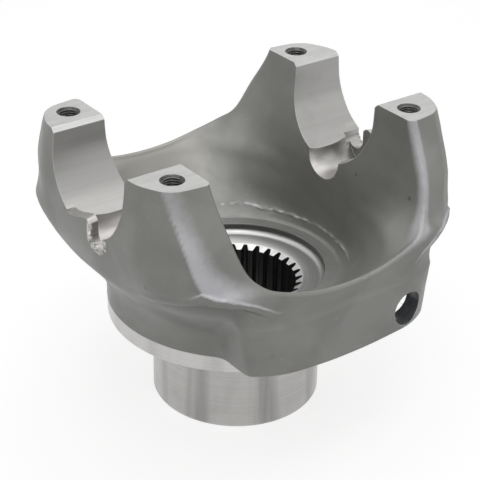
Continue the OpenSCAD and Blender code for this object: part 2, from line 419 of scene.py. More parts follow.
def soften(points, weight, times):
    """Moves each grid point towards the mean of its four neighbours, by its row's weight, a few times."""
    for _ in range(times):
        mean = sum(np.roll(points, s, k) for s, k in ((1, 0), (-1, 0), (1, 1), (-1, 1))) / 4
        points = points + (mean - points) * weight[None, :, None]
    return points


def sections(angle):
    """Radius and height along each closed section, and how many rows are outside, crest and inside.

    Rows go up the outside evenly, then to a knee where the ears' corners begin, then to the crest, which
    is half an ellipse between the two walls. They go down the inside and end on the bowl's floor.
    """
    a = angle[:, None]
    alike = np.ones_like(a)
    top = crest_height(angle)[:, None]
    knee = np.minimum(112, SPREAD_Z + 0.75 * (top - SPREAD_Z))
    z_out = np.concatenate([alike * np.linspace(FOOT_Z, SPREAD_Z, 45),
                            SPREAD_Z + (knee - SPREAD_Z) * np.linspace(0, 1, 27)[1:],
                            knee + (top - knee) * np.linspace(0, 1, 19)[1:]], 1)
    z_bowl = np.concatenate([np.linspace(SPREAD_Z, 78, 14)[1:], np.linspace(77.5, 70, 19),
                             [69.4, 68.9, 68.5, 68.2]])
    z_in = np.concatenate([SPREAD_Z + (top - SPREAD_Z) * np.linspace(1, 0, 28) ** 1.4, alike * z_bowl], 1)
    r_out = outside(a, z_out)
    r_in = inside(a, z_in)
    turn = np.radians([15, 35, 55, 75, 90, 105, 125, 145, 165])
    middle = (r_out[:, -1:] + r_in[:, :1]) / 2
    half = (r_out[:, -1:] - r_in[:, :1]) / 2
    r_floor = np.array([47.0, 46.0, 45.0, 44.0, 43.0, 41.0, 39.0, 39.0])
    z_floor = np.array([68.05, 67.95, 67.9, 67.85, FLOOR_Z, FLOOR_Z, FLOOR_Z, FOOT_Z])
    r = np.concatenate([r_out, middle + half * np.cos(turn), r_in, alike * r_floor], 1)
    z = np.concatenate([z_out, top + half * 0.8 * np.sin(turn), z_in, alike * z_floor], 1)
    return r, z, (z_out.shape[1], turn.size, z_in.shape[1])


def forging():
    """The forged skin: sections all round the hub, softened near the crest, then pushed out or in.

    The push is three sizes of random swell, with the flash on the outside and the ridge in the bowl.
    """
    angle = round_angles()
    a = angle[:, None]
    r, z, (outer, crest, inner) = sections(angle)
    rows = np.arange(r.shape[1])
    points = np.stack([r * np.cos(a), r * np.sin(a), z], -1)
    points = soften(points, 0.8 * (1 - smooth(np.abs(rows - outer - crest / 2), 4, 9)), 5)
    swell = waves(points, 3, 46) * 0.16 + waves(points, 5, 17) * 0.06 + waves(points, 6, 7) * 0.025
    fade = np.clip((r - 44) / 8, 0, 1) * np.clip((z - 52) / 6, 0, 1)
    on_wall = rows < outer - 6
    in_bowl = (rows > outer + crest + 6) & (rows < outer + crest + inner)
    push = swell * fade + np.where(on_wall, flash_step(a, z, points), 0) * smooth(r, 66, 69)
    push = push - np.where(in_bowl, bowl_flash(a, z, points), 0)
    points[..., 0] += push * np.cos(a)
    points[..., 1] += push * np.sin(a)
    return solid("yoke_forging", points + SKIN, grid_faces(*r.shape))


def seat_outline(lip=None, drop=0.0):
    """Across a seat: straight walls with broken upper edges over a half round, with a lip's top let in."""
    a = np.radians(np.linspace(180, 360, 121))
    bottom = np.stack([SEAT_R * np.cos(a), SEAT_Z + SEAT_R * np.sin(a)], -1)
    if lip is not None:
        keep_left = bottom[bottom[:, 0] < lip[0, 0]]
        keep_right = bottom[bottom[:, 0] > lip[-1, 0]]
        bottom = np.concatenate([keep_left, lip - [0, drop], keep_right])
    over = 6.0
    upper = [[SEAT_R, TIP_Z - SEAT_BREAK], [SEAT_R + over, TIP_Z - SEAT_BREAK + over],
             [-SEAT_R - over, TIP_Z - SEAT_BREAK + over], [-SEAT_R, TIP_Z - SEAT_BREAK]]
    return np.concatenate([bottom, upper])


def thread_cutter(x, y):
    """A blind hole with a pointed foot, whose radius rises and falls along a helix near the mouth.

    The ridge is a clipped zigzag of height over pitch plus the share of a turn.
    """
    around, rows_a_pitch, above = 44, 8, 6
    thread_z = np.arange(TIP_Z - THREAD_DEPTH, TIP_Z - 0.6, THREAD_PITCH / rows_a_pitch)
    turn = np.linspace(0, 2 * math.pi, around, endpoint=False)[:, None]
    phase = np.mod(thread_z[None, :] / THREAD_PITCH + turn / (2 * math.pi), 1)
    thread_r = CORE_R + THREAD_HEIGHT * np.clip(1.6 * (1 - np.abs(2 * phase - 1)) - 0.15, 0, 1)
    alike = np.ones_like(turn)
    foot_z = [TIP_Z - HOLE_DEPTH - HOLE_POINT, TIP_Z - HOLE_DEPTH, TIP_Z - THREAD_DEPTH - 0.4]
    foot_r = np.array([AXIS_R, CORE_R, CORE_R])
    mouth_r = np.array([SINK_R, AXIS_R])
    z = np.concatenate([foot_z, thread_z, [TIP_Z + above, TIP_Z + above]])
    r = np.concatenate([alike * foot_r, thread_r, alike * mouth_r], 1)
    points = np.stack([x + r * np.cos(turn), y + r * np.sin(turn), alike * z], -1)
    return solid("hole", points, grid_faces(*r.shape))


def spline_cutter():
    """The bore's outline: a clipped cosine, one wave a tooth, swings the radius between tips and spaces."""
    points_a_tooth = 18
    turn = np.linspace(0, 2 * math.pi, TEETH * points_a_tooth, endpoint=False)
    swing = np.clip(0.3 + 0.95 * np.cos(TEETH * (turn - math.radians(SPACE_AT))), 0, 1)
    r = MINOR_R + (MAJOR_R - MINOR_R) * swing
    outline = np.stack([r * np.cos(turn), r * np.sin(turn)], -1)
    return prism("spline", outline, -5, SPLINE_Z + 3, axis="z")


def over_lip(side):
    """What is cut away over one lip: the seat's outline with the lip's top in it, lower at its outer end."""
    lip = LIP if side > 0 else (LIP * [-1, 1])[::-1]
    near = seat_outline(lip)
    far = seat_outline(lip, LIP_SLOPE)
    inner_x, outer_x = LIP_X - 0.5, LIP_X + 6.5
    if side > 0:
        return lofted("over_lip", near, far, inner_x, outer_x)
    return lofted("over_lip", far, near, -outer_x, -inner_x)


def trough_cutter(side):
    """The bell under one seat, turned round a line above the hub's axis."""
    return moved(turned("trough", BELL[:, ::-1] * [1, side], 96, axis="x"), z=TROUGH_Z)


def notch_cutter(side):
    """A slot with a half-round foot beside one lip, out through the ear's skin."""
    a = np.radians(np.linspace(180, 360, 25))
    half = NOTCH_W / 2
    middle = NOTCH_Y + half
    foot = np.stack([middle + half * np.cos(a), NOTCH_Z + half * (1 + np.sin(a))], -1)
    outline = np.concatenate([foot, [[middle + half, NOTCH_Z + 18], [middle - half, NOTCH_Z + 18]]])
    outline[:, 0] *= side
    return prism("notch", outline, *sorted((side * (LIP_X - 4), side * 100)))


def seats(body):
    """Both bearing seats, then at each end the lip, the trough, the notch and its torn rim."""
    cut(body, prism("seat", seat_outline(), -LIP_X, LIP_X))
    for side, torn, seed in ((1, 1.0, 22), (-1, 1.7, 20)):
        for cutter in (over_lip, trough_cutter, notch_cutter):
            cut(body, cutter(side))
        burr(body, side, torn, seed)


def notch_rim(side):
    """Centre line of the notch's rim on the forged skin, from its lip side down and up again.

    The straight run down the lip side laps a little past the start of the round foot. Each point lies at
    the skin's radius for its direction and height.
    """
    a = np.radians(np.linspace(188, 352, RIM_ROUND))
    half = NOTCH_W / 2 + 0.1
    y = NOTCH_Y + NOTCH_W / 2 + half * np.cos(a)
    z = NOTCH_Z + half * (1 + np.sin(a))
    y = np.concatenate([np.full(RIM_STRAIGHT, y[0]), y])
    z = np.concatenate([np.linspace(RIM_TOP_Z, z[RIM_STRAIGHT], RIM_STRAIGHT, endpoint=False), z])
    across = side * y - SKIN[1]
    r = outside(np.arctan2(across, np.full_like(y, (LIP_X + 4) * side)), z)
    x = np.sqrt(r**2 - across**2) - 0.1
    return np.stack([side * x + SKIN[0], side * y, z], -1)


def burr(body, side, size, seed):
    """Torn metal left along a notch: a bead of many-sided rings of random width, strung along the rim.

    A ring's corners are its width times cosine outwards and times sine across the rim.
    """
    rng = np.random.default_rng(seed)
    rings = RIM_STRAIGHT + RIM_ROUND
    path = notch_rim(side) + rng.normal(0, 0.16 * size, (rings, 3))
    ahead = np.gradient(path, axis=0)
    ahead /= np.linalg.norm(ahead, axis=1)[:, None]
    out = np.array([side, 0.0, 0.0])
    across = np.cross(ahead, out)
    across /= np.linalg.norm(across, axis=1)[:, None]
    turn = np.linspace(0, 2 * math.pi, BEAD_SIDES, endpoint=False)
    taper = np.ones((rings, 1))
    taper[[0, -1]] = 0.6
    width = size * rng.uniform(0.25, 0.85, (rings, BEAD_SIDES)) * taper
    ring = out * (width * np.cos(turn))[..., None] + across[:, None] * (width * np.sin(turn))[..., None]
    last = (rings - 1) * BEAD_SIDES
    caps = [list(range(BEAD_SIDES))[::-1], list(range(last, last + BEAD_SIDES))]
    bead = solid("burr", path[:, None] + ring, grid_faces(rings, BEAD_SIDES)[:last].tolist() + caps)
    combine(body, bead, "UNION")


def tapped_holes(body):
    """The four threaded holes with their countersinks."""
    sink = SINK_R - CORE_R
    profile = [[AXIS_R, TIP_Z - sink], [CORE_R, TIP_Z - sink], [SINK_R + sink, TIP_Z + sink],
               [AXIS_R, TIP_Z + sink]]
    for x in (-HOLE_X, HOLE_X):
        for y in (-HOLE_Y, HOLE_Y):
            cut(body, thread_cutter(x, y))
            cut(body, moved(turned("sink", profile, 64), x, y))


def bore(body):
    """The splined bore, its dished counterbore with a rounded foot, and the chamfer at the hub's end."""
    cut(body, spline_cutter())
    recess = [[AXIS_R, FLOOR_Z + 12], [RECESS_R + 0.5, FLOOR_Z + 12], [RECESS_R + 0.5, FLOOR_Z + 0.3],
              [RECESS_R + 0.3, FLOOR_Z], [RECESS_R, FLOOR_Z - 0.4], [RECESS_R, 65.6],
              [RECESS_R - 0.15, 64.8], [RECESS_R - 0.6, 64.0], [RECESS_R - 1.4, 63.3],
              [RECESS_R - 2.5, 62.9], [RECESS_R - 4, 62.75], [MAJOR_R + 0.9, 62.2], [MAJOR_R + 0.4, 62.0],
              [MINOR_R - 0.2, 60.1], [AXIS_R, 60.1]]
    cut(body, turned("recess", recess))
    entry = [[AXIS_R, -1], [MAJOR_R + 1.9, -1], [MINOR_R - 0.6, 2.4], [AXIS_R, 2.4]]
    cut(body, turned("entry", entry))


def drilling(body):
    """The hole through the front lug with a broken edge, and the wider, lower facing cut behind it."""
    front = 85.0
    facing = LUG_Y - SKIN[1] - DRILL_WALL
    floor_y = facing - FACING_DEPTH
    drill = [[AXIS_R, floor_y + 1], [DRILL_R, floor_y + 1], [DRILL_R, front], [DRILL_R + 0.35, front + 0.7],
             [DRILL_R + 0.9, front + 1.4], [DRILL_R + 0.9, front + 15], [AXIS_R, front + 15]]
    back = [[AXIS_R, floor_y], [BACK_R, floor_y], [BACK_R, facing], [AXIS_R, facing]]
    for name, profile, at_x, at_z in (("drill", drill, DRILL_X, DRILL_Z), ("facing", back, BACK_X, BACK_Z)):
        cut(body, moved(turned(name, np.array(profile) * [1, -1], 96, axis="-y"), at_x, z=at_z))


def hub():
    """The turned hub with a rounded end, a flange into the forging and a wall up to the bowl's floor."""
    core_r, wall_r, flange_r = 20, 45, BAND_R + 3
    flange_z, wall_z = 52.6, FLOOR_Z - 1.5
    return turned("hub", [
        [core_r, 0], [JOURNAL_R - 1.9, 0], [JOURNAL_R - 0.7, 0.35], [JOURNAL_R, 1.6],
        [JOURNAL_R, SHOULDER_Z], [flange_r, SHOULDER_Z], [flange_r, flange_z], [wall_r, flange_z],
        [wall_r, wall_z], [core_r, wall_z]])


def underside():
    """What is turned away under the forging: the shoulder's rounded edge, the band and the slope past it."""
    reach, low_z = 60, 30
    return turned("underside", [
        [BAND_R - 1.5, low_z], [BAND_R - 1.5, SHOULDER_Z - 0.01], [BAND_R - 0.7, SHOULDER_Z],
        [BAND_R, SHOULDER_Z + 0.7], [BAND_R, BAND_Z], [BAND_R + reach, BAND_Z + reach * SLOPE],
        [BAND_R + reach, low_z]])


def yoke():
    """The whole yoke: the forging with its hub, then every machined face cut in turn."""
    body = face_out(forging())
    combine(body, hub(), "UNION")
    cut(body, underside())
    half = 120
    slab = [[-half, TIP_Z], [half, TIP_Z], [half, TIP_Z + 30], [-half, TIP_Z + 30]]
    cut(body, prism("slab", slab, -half, half))
    seats(body)
    tapped_holes(body)
    bore(body)
    drilling(body)
    return body


# Kinds of socket on the shared groups
FLOAT = "NodeSocketFloat"
VECTOR = "NodeSocketVector"


def group(name, ins, outs):
    """A shader node group with named sockets: (name, kind, value) in, (name, kind) out."""
    tree = bpy.data.node_groups.new(name, "ShaderNodeTree")
    for label, kind, value in ins:
        socket = tree.interface.new_socket(name=label, in_out="INPUT", socket_type=kind)
        if value is not None:
            socket.default_value = value
    for label, kind in outs:
        tree.interface.new_socket(name=label, in_out="OUTPUT", socket_type=kind)
    return tree


def add(tree, kind, links=(), **values):
    """A node with its values set, and each named input fed by another node's output or set to a value."""
    node = tree.nodes.new(kind)
    for key, value in values.items():
        setattr(node, key, value)
    for socket, source in links:
        if hasattr(source, "node"):
            tree.links.new(source, node.inputs[socket])
        else:
            node.inputs[socket].default_value = source
    return node


def math_node(tree, operation, a, b):
    """One sum on two values."""
    return add(tree, "ShaderNodeMath", [(0, a), (1, b)], operation=operation).outputs[0]


def product(tree, a, b):
    """Two values multiplied."""
    return math_node(tree, "MULTIPLY", a, b)


def stretch(tree, value, low, high, out_low=0.0, out_high=1.0):
    """A value carried from one range to another with level ends."""
    links = [("Value", value), ("From Min", low), ("From Max", high), ("To Min", out_low),
             ("To Max", out_high)]
    return add(tree, "ShaderNodeMapRange", links, interpolation_type="SMOOTHSTEP").outputs["Result"]


def noise(tree, where, scale, detail, rough=0.5, distortion=0.0):
    """Cloudy noise from 0 to 1 over a place."""
    links = [("Vector", where), ("Scale", scale), ("Detail", detail), ("Roughness", rough),
             ("Distortion", distortion)]
    return add(tree, "ShaderNodeTexNoise", links).outputs["Fac"]


def mapped(tree, where, turn, scale):
    """A place scaled along its axes and then turned."""
    links = [("Vector", where), ("Rotation", turn), ("Scale", scale)]
    return add(tree, "ShaderNodeMapping", links).outputs[0]


def blasted_steel():
    """Shot-blasted forging: pitted grain, cloudy patches, faint die scratches and scattered small nicks."""
    floats = ("Cloud", "Scratch", "Nick", "Height")
    tree = group("blasted_steel", [("Place", VECTOR, None)], [(label, FLOAT) for label in floats])
    place = add(tree, "NodeGroupInput").outputs["Place"]
    cloud = noise(tree, place, 38.0, 3.0, 0.55, 0.6)
    fine = noise(tree, place, 1500.0, 2.0, 0.6)
    pits = noise(tree, place, 420.0, 3.0, 0.6)
    grain = math_node(tree, "ADD", product(tree, fine, 0.45), pits)
    drawn = mapped(tree, place, (0.6, 0.35, 0.8), (60.0, 900.0, 900.0))
    line = stretch(tree, noise(tree, drawn, 1.0, 2.0, 0.5, 0.2), 0.66, 0.74)
    rare = stretch(tree, noise(tree, place, 60.0, 1.0), 0.54, 0.62)
    scratch = product(tree, line, rare)
    cells = add(tree, "ShaderNodeTexVoronoi", [("Vector", place), ("Scale", 75.0)], feature="F1").outputs
    chosen = add(tree, "ShaderNodeSeparateColor", [(0, cells["Color"])]).outputs[0]
    spot = stretch(tree, cells["Distance"], 0.05, 0.11, 1.0, 0.0)
    nick = product(tree, spot, stretch(tree, chosen, 0.82, 0.9))
    height = math_node(tree, "SUBTRACT", grain, product(tree, nick, 1.6))
    height = math_node(tree, "SUBTRACT", height, product(tree, scratch, 0.5))
    add(tree, "NodeGroupOutput", zip(floats, (cloud, scratch, nick, height)))
    return tree


def cut_marks():
    """Tool marks: fine and broad streaks of a noise that is stretched along the way the tool went."""
    floats = ("Broad", "Fine", "Stain")
    tree = group("cut_marks", [("Place", VECTOR, None)], [(label, FLOAT) for label in floats])
    place = add(tree, "NodeGroupInput").outputs["Place"]
    broad = noise(tree, place, 1.0, 3.0, 0.6)
    fine = noise(tree, place, 5.5, 2.0, 0.6)
    where = add(tree, "ShaderNodeTexCoord").outputs["Object"]
    stain = noise(tree, where, 55.0, 3.0, 0.6, 0.8)
    add(tree, "NodeGroupOutput", zip(floats, (broad, fine, stain)))
    return tree


def worn_and_lit_edges():
    """Edge wear and painted highlight along edges: how far the normal, rounded over a small radius, leans
    from the true one.
    """
    tree = group("worn_and_lit_edges", [], [("WearAndHighlight", FLOAT)])
    true = add(tree, "ShaderNodeNewGeometry").outputs["Normal"]
    rounded = add(tree, "ShaderNodeBevel", [("Radius", 0.0006)], samples=6).outputs[0]
    agree = add(tree, "ShaderNodeVectorMath", [(0, true), (1, rounded)], operation="DOT_PRODUCT")
    add(tree, "NodeGroupOutput", [("WearAndHighlight", stretch(tree, agree.outputs["Value"], 0.97, 0.80))])
    return tree


def relief():
    """A height turned into a normal, over edges that are rounded to a small radius."""
    fed = [(label, FLOAT, 0.0) for label in ("Height", "Strength", "Depth", "Radius")]
    tree = group("relief", fed, [("Normal", VECTOR)])
    put = add(tree, "NodeGroupInput").outputs
    rounded = add(tree, "ShaderNodeBevel", [("Radius", put["Radius"])], samples=6).outputs[0]
    raised = add(tree, "ShaderNodeBump", [("Height", put["Height"]), ("Strength", put["Strength"]),
                                          ("Distance", put["Depth"]), ("Normal", rounded)])
    add(tree, "NodeGroupOutput", [("Normal", raised.outputs[0])])
    return tree


BLASTED = blasted_steel()
CUT = cut_marks()
EDGE_WEAR_AND_HIGHLIGHT = worn_and_lit_edges()
RELIEF = relief()


def begin(name, metallic):
    """A new material with its tree, its shader and its Object coordinates."""
    m = bpy.data.materials.new(name)
    m.use_nodes = True
    shader = m.node_tree.nodes["Principled BSDF"]
    shader.inputs["Metallic"].default_value = metallic
    where = add(m.node_tree, "ShaderNodeTexCoord").outputs["Object"]
    return m, m.node_tree, shader, where


def effect(tree, node_group, **feeds):
    """A shared node group placed in a material with its named inputs fed, which gives its outputs."""
    return add(tree, "ShaderNodeGroup", feeds.items(), node_tree=node_group).outputs


def blend(tree, factor, a, b):
    """Two colours mixed by another node's factor."""
    node = add(tree, "ShaderNodeMix", data_type="RGBA")
    for key, value in (("Factor_Float", factor), ("A_Color", a), ("B_Color", b)):
        socket = next(s for s in node.inputs if s.identifier == key)
        if hasattr(value, "node"):
            tree.links.new(value, socket)
        else:
            socket.default_value = (*value, 1.0)
    return next(s for s in node.outputs if s.identifier == "Result_Color")


def feed(shader, tone, gloss, raised):
    """A shader's colour, roughness and normal fed by a tone, a gloss and the relief's outputs."""
    links = shader.id_data.links
    links.new(tone, shader.inputs["Base Color"])
    links.new(gloss, shader.inputs["Roughness"])
    links.new(raised["Normal"], shader.inputs["Normal"])


def attribute(tree, label):
    """A value that is stored at the mesh's points."""
    return add(tree, "ShaderNodeAttribute", attribute_name=label).outputs["Fac"]


def ragged(tree, value, grain, share):
    """A value with a share of a noise about its middle added, so that its border is uneven."""
    return math_node(tree, "ADD", value, product(tree, math_node(tree, "SUBTRACT", grain, 0.5), share))


def shade(colour, share):
    """A colour made darker to a share of itself."""
    return tuple(c * share for c in colour)


# Colours of the forged skin, with its painted highlight, painted light and painted shade, and of light edges
# on machined faces, which are edge wear and painted highlight
SKIN_DARK = (0.268, 0.268, 0.254)
SKIN_LIGHT = (0.305, 0.305, 0.290)
# Painted shade in the hollow under the flash and on the bowl wall under the right seat
SKIN_PAINTED_SHADE = (0.16, 0.16, 0.150)
# Painted highlight along the corner strips, the flash, the crest and the ridge in the bowl
SKIN_PAINTED_HIGHLIGHT = (0.70, 0.70, 0.74)
# Painted light on the far left wall of the bowl, in a lighter and warmer tone
SKIN_PAINTED_LIGHT = (0.40, 0.388, 0.36)
SKIN_SCRATCH = (0.50, 0.50, 0.49)
SKIN_EDGE = (0.66, 0.66, 0.64)
# Painted shade in the nicks
SKIN_NICK_SHADE = (0.12, 0.12, 0.115)
CUT_EDGE = (0.85, 0.85, 0.83)


def forged_skin():
    """Grey blasted skin: cloudy in tone, with painted highlight on strips, flash and crest, painted light on
    the far bowl wall, and painted shade in hollows and nicks.
    """
    m, tree, shader, where = begin("forged_skin", 0.4)
    out = effect(tree, BLASTED, Place=where)
    painted_highlight, painted_shade, pale_painted_light = (attribute(tree, label) for label in ("painted_highlight", "painted_shade", "pale_painted_light"))
    uneven = ragged(tree, painted_highlight, noise(tree, where, 300.0, 4.0, 0.7), 0.4)
    # Painted highlight, with a ragged border
    bright = product(tree, stretch(tree, uneven, 0.05, 1.05), stretch(tree, painted_highlight, 0.0, 0.25))
    # Painted light on the far left bowl wall, patchy by the cloud noise
    patchy = ragged(tree, pale_painted_light, out["Cloud"], 1.2)
    paled = product(tree, stretch(tree, patchy, 0.15, 0.9), stretch(tree, pale_painted_light, 0.0, 0.3))
    edge = effect(tree, EDGE_WEAR_AND_HIGHLIGHT)["WearAndHighlight"]
    tone = blend(tree, stretch(tree, out["Cloud"], 0.35, 0.68), SKIN_DARK, SKIN_LIGHT)
    tone = blend(tree, paled, tone, SKIN_PAINTED_LIGHT)
    # Layers in turn: painted shade, painted highlight, scratches, edge wear with painted highlight, and
    # painted shade in the nicks
    layers = ((painted_shade, 0.55, SKIN_PAINTED_SHADE), (bright, 0.8, SKIN_PAINTED_HIGHLIGHT), (out["Scratch"], 0.5, SKIN_SCRATCH),
              (edge, 0.75, SKIN_EDGE), (out["Nick"], 0.6, SKIN_NICK_SHADE))
    for mask, share, colour in layers:
        tone = blend(tree, product(tree, mask, share), tone, colour)
    gloss = stretch(tree, out["Cloud"], 0.3, 0.7, 0.50, 0.40)
    raised = effect(tree, RELIEF, Height=out["Height"], Strength=0.35, Depth=0.00012, Radius=0.0005)
    feed(shader, tone, gloss, raised)
    return m


def from_axis(tree, where):
    """A place told by its distance from the hub's axis, as x, and its height, as z."""
    split = add(tree, "ShaderNodeSeparateXYZ", [(0, where)]).outputs
    flat = add(tree, "ShaderNodeCombineXYZ", [(0, split[0]), (1, split[1])]).outputs[0]
    far = add(tree, "ShaderNodeVectorMath", [(0, flat)], operation="LENGTH").outputs["Value"]
    return add(tree, "ShaderNodeCombineXYZ", [(0, far), (2, split[2])]).outputs[0]


def cut_face(name, metallic, dark, light, rough, scale, turn=(0.0, 0.0, 0.0), depth=0.00003, worn_and_lit=0.6,
             rounded=0.0004, ringed=False, painted_streaks=0.0):
    """A machined face: streaks along the tool's way in tone, gloss and height, a stain and light edges of
    edge wear and painted highlight.

    The streaks' scale is their number in a metre along each axis, least along the tool's way. Ringed streaks
    run round the hub's axis, where y has no part, and some faces have dark bands of painted reflection too.
    """
    m, tree, shader, where = begin(name, metallic)
    place = from_axis(tree, where) if ringed else where
    out = effect(tree, CUT, Place=mapped(tree, place, turn, scale))
    tone = blend(tree, stretch(tree, out["Broad"], 0.36, 0.66), dark, light)
    if painted_streaks:
        # Painted reflection: dark bands fixed on the face
        along = mapped(tree, where, (0, 0, 0.35), (48.0, 48.0, 3.0))
        band = stretch(tree, noise(tree, along, 1.0, 3.0, 0.55, 0.3), 0.42, 0.64)
        tone = blend(tree, product(tree, band, painted_streaks), tone, shade(dark, 0.5))
    stain = product(tree, stretch(tree, out["Stain"], 0.52, 0.72), 0.22)
    tone = blend(tree, stain, tone, shade(dark, 0.72))
    # Edges made lighter: edge wear and painted highlight
    if worn_and_lit:
        tone = blend(tree, product(tree, effect(tree, EDGE_WEAR_AND_HIGHLIGHT)["WearAndHighlight"], worn_and_lit), tone, CUT_EDGE)
    gloss = stretch(tree, out["Fine"], 0.3, 0.7, rough - 0.03, rough + 0.04)
    raised = effect(tree, RELIEF, Height=out["Fine"], Strength=0.4, Depth=depth, Radius=rounded)
    feed(shader, tone, gloss, raised)
    return m


# Every finish. A cut face has its name, metallic, darker and lighter streaks, roughness and streak scale
FINISHES = [
    forged_skin(),
    cut_face("milled_tip", 0.75, (0.33, 0.33, 0.32), (0.37, 0.37, 0.36), 0.38, (60.0, 500.0, 300.0),
             turn=(0.0, 0.0, 0.7), depth=0.00001),
    cut_face("turned_face", 0.85, (0.56, 0.552, 0.54), (0.60, 0.592, 0.577), 0.3, (1500.0, 1.0, 1500.0),
             ringed=True, painted_streaks=0.3),
    # The bore's near-black tone is painted shade inside the bore
    cut_face("broached_bore", 0.8, (0.05, 0.05, 0.05), (0.10, 0.10, 0.10), 0.42, (900.0, 900.0, 20.0),
             worn_and_lit=0.0, rounded=0.0),
    # The thread's near-black tone is painted shade inside the holes
    cut_face("thread", 0.8, (0.06, 0.06, 0.058), (0.13, 0.13, 0.125), 0.38, (300.0, 300.0, 300.0),
             worn_and_lit=0.3, rounded=0.0),
    cut_face("drilled_wall", 0.8, (0.26, 0.275, 0.29), (0.36, 0.375, 0.39), 0.36, (200.0, 1200.0, 200.0)),
    cut_face("trough_face", 0.75, (0.42, 0.408, 0.395), (0.47, 0.457, 0.442), 0.38, (25.0, 500.0, 500.0)),
    cut_face("bored_seat", 0.75, (0.39, 0.385, 0.375), (0.41, 0.405, 0.395), 0.38, (10.0, 420.0, 420.0),
             depth=0.00001),
    cut_face("tooth_end", 0.7, (0.62, 0.62, 0.61), (0.78, 0.78, 0.77), 0.34, (300.0, 300.0, 300.0),
             worn_and_lit=0.0),
    cut_face("turned_recess", 0.85, (0.46, 0.46, 0.45), (0.54, 0.54, 0.53), 0.3, (1300.0, 1.0, 1300.0),
             worn_and_lit=0.25, ringed=True),
    # The counterbore wall's dark tone is painted shade
    cut_face("recess_wall", 0.6, (0.13, 0.13, 0.125), (0.18, 0.18, 0.172), 0.4, (1300.0, 1.0, 900.0),
             worn_and_lit=0.1, ringed=True),
    cut_face("edge_break", 0.6, (0.60, 0.60, 0.59), (0.68, 0.68, 0.67), 0.36, (40.0, 500.0, 300.0),
             worn_and_lit=0.3),
    cut_face("torn_metal", 0.6, (0.46, 0.44, 0.42), (0.74, 0.73, 0.71), 0.32, (500.0, 500.0, 500.0),
             depth=0.0001, worn_and_lit=0.5),
    cut_face("ground_journal", 0.9, (0.44, 0.432, 0.42), (0.475, 0.467, 0.455), 0.22, (1500.0, 1.0, 1500.0),
             ringed=True, painted_streaks=0.75),
]
(FORGED, MILLED, TURNED, BROACHED, THREAD, DRILLED, TROUGH, SEAT, TOOTH, RECESS, RECESS_WALL, BREAK, TORN,
 JOURNAL) = range(len(FINISHES))


def triples(items, field):
    """A field of three numbers of every face or point of a mesh, one row each."""
    values = np.empty(len(items) * 3)
    items.foreach_get(field, values)
    return values.reshape(-1, 3)


def finish_of_faces(mesh):
    """Finish of each face, from the machined surface that its middle lies on and the way it looks."""
    middle = triples(mesh.polygons, "center") / MM
    x, y, z = middle.T
    nx, ny, nz = triples(mesh.polygons, "normal").T
    r = np.hypot(x, y)
    side_x, side_y = np.abs(x), np.abs(y)
    near = 0.08
    high = z > 115
    kind = np.full(len(middle), FORGED)

    # Seats with their broken edges, and the milled tips
    along_seat = (side_x > 40) & (np.abs(nx) < 0.3)
    half = (np.abs(np.hypot(y, z - SEAT_Z) - SEAT_R) < near) & (z < SEAT_Z + 1)
    wall = (np.abs(side_y - SEAT_R) < near) & (z > SEAT_Z - 1)
    broken = (np.abs(side_y - SEAT_R - (z - TIP_Z + SEAT_BREAK)) < near) & (z > TIP_Z - SEAT_BREAK - near)
    kind[(half | wall) & along_seat] = SEAT
    kind[broken & along_seat] = BREAK
    kind[(z > TIP_Z - near) & (nz > 0.9)] = MILLED

    # Troughs and notches, and the tapped holes
    bell = np.interp(side_x, BELL[1:-1, 0], BELL[1:-1, 1])
    on_bell = np.abs(np.hypot(y, z - TROUGH_Z) - bell) < 0.15
    kind[on_bell & (side_x > 46) & (side_x < LIP_X + 0.05) & (z < 122) & (kind == FORGED)] = TROUGH
    in_notch = (np.abs(side_y - NOTCH_Y - NOTCH_W / 2) < NOTCH_W / 2 + 0.1) & (x * y > 0)
    in_notch = in_notch & (z > NOTCH_Z - 1) & (z < NOTCH_Z + 11)
    kind[in_notch & (side_x > LIP_X - 0.1) & (np.abs(nx) < 0.2)] = TROUGH
    hole = np.hypot(side_x - HOLE_X, side_y - HOLE_Y)
    kind[(hole < SINK_R + 0.2) & high & (nz < 0.999)] = THREAD

    # Hub, band and underside, then the counterbore and the spline
    kind[(r < BAND_R + near) & (z < BAND_Z + near)] = TURNED
    kind[(r < JOURNAL_R + near) & (z < SHOULDER_Z + near)] = JOURNAL
    cone = np.abs(z - BAND_Z - (r - BAND_R) * SLOPE) < near
    kind[cone & (r > BAND_R - near) & (nz < -0.8)] = TURNED
    kind[(r < RECESS_R + 0.45) & (z < FLOOR_Z + 0.2) & (z > SPLINE_Z - 2.2) & (kind == FORGED)] = RECESS
    kind[(kind == RECESS) & (r > RECESS_R - 0.4) & (z > 64.6)] = RECESS_WALL
    in_bore = (r < MAJOR_R + 0.45) & (z < SPLINE_Z + 0.5)
    kind[in_bore] = BROACHED
    kind[in_bore & (r > MINOR_R - 1) & (z > SPLINE_Z - 2) & (nz > 0.4)] = TOOTH
    kind[(r > MAJOR_R + 0.1) & (r < JOURNAL_R - 1) & (z < 1)] = TURNED

    # Drilling and facing, the tops of the lips, and the torn rims of the notches
    in_drill = np.abs(np.hypot(x - DRILL_X, z - DRILL_Z) - DRILL_R) < 1.0
    in_facing = np.abs(np.hypot(x - BACK_X, z - BACK_Z) - BACK_R) < near
    in_lug = (y < -60) & (y > -LUG_Y - 1.1) & (np.abs(ny) < 0.9)
    kind[(in_drill | in_facing) & in_lug & (kind == FORGED)] = DRILLED
    kind[(side_x > LIP_X + 0.1) & (side_y < 18) & high & (z < 120.6) & (nz > 0.6)] = TROUGH
    for side, reach in ((1, 1.2), (-1, 1.7)):
        rim = notch_rim(side)
        close = np.flatnonzero(np.linalg.norm(middle - rim[RIM_STRAIGHT + RIM_ROUND // 2], axis=1) < 16)
        gap = np.linalg.norm(middle[close, None] - rim[None], axis=2).min(1)
        kind[close[(gap < reach) & (kind[close] == FORGED)]] = TORN
    return kind


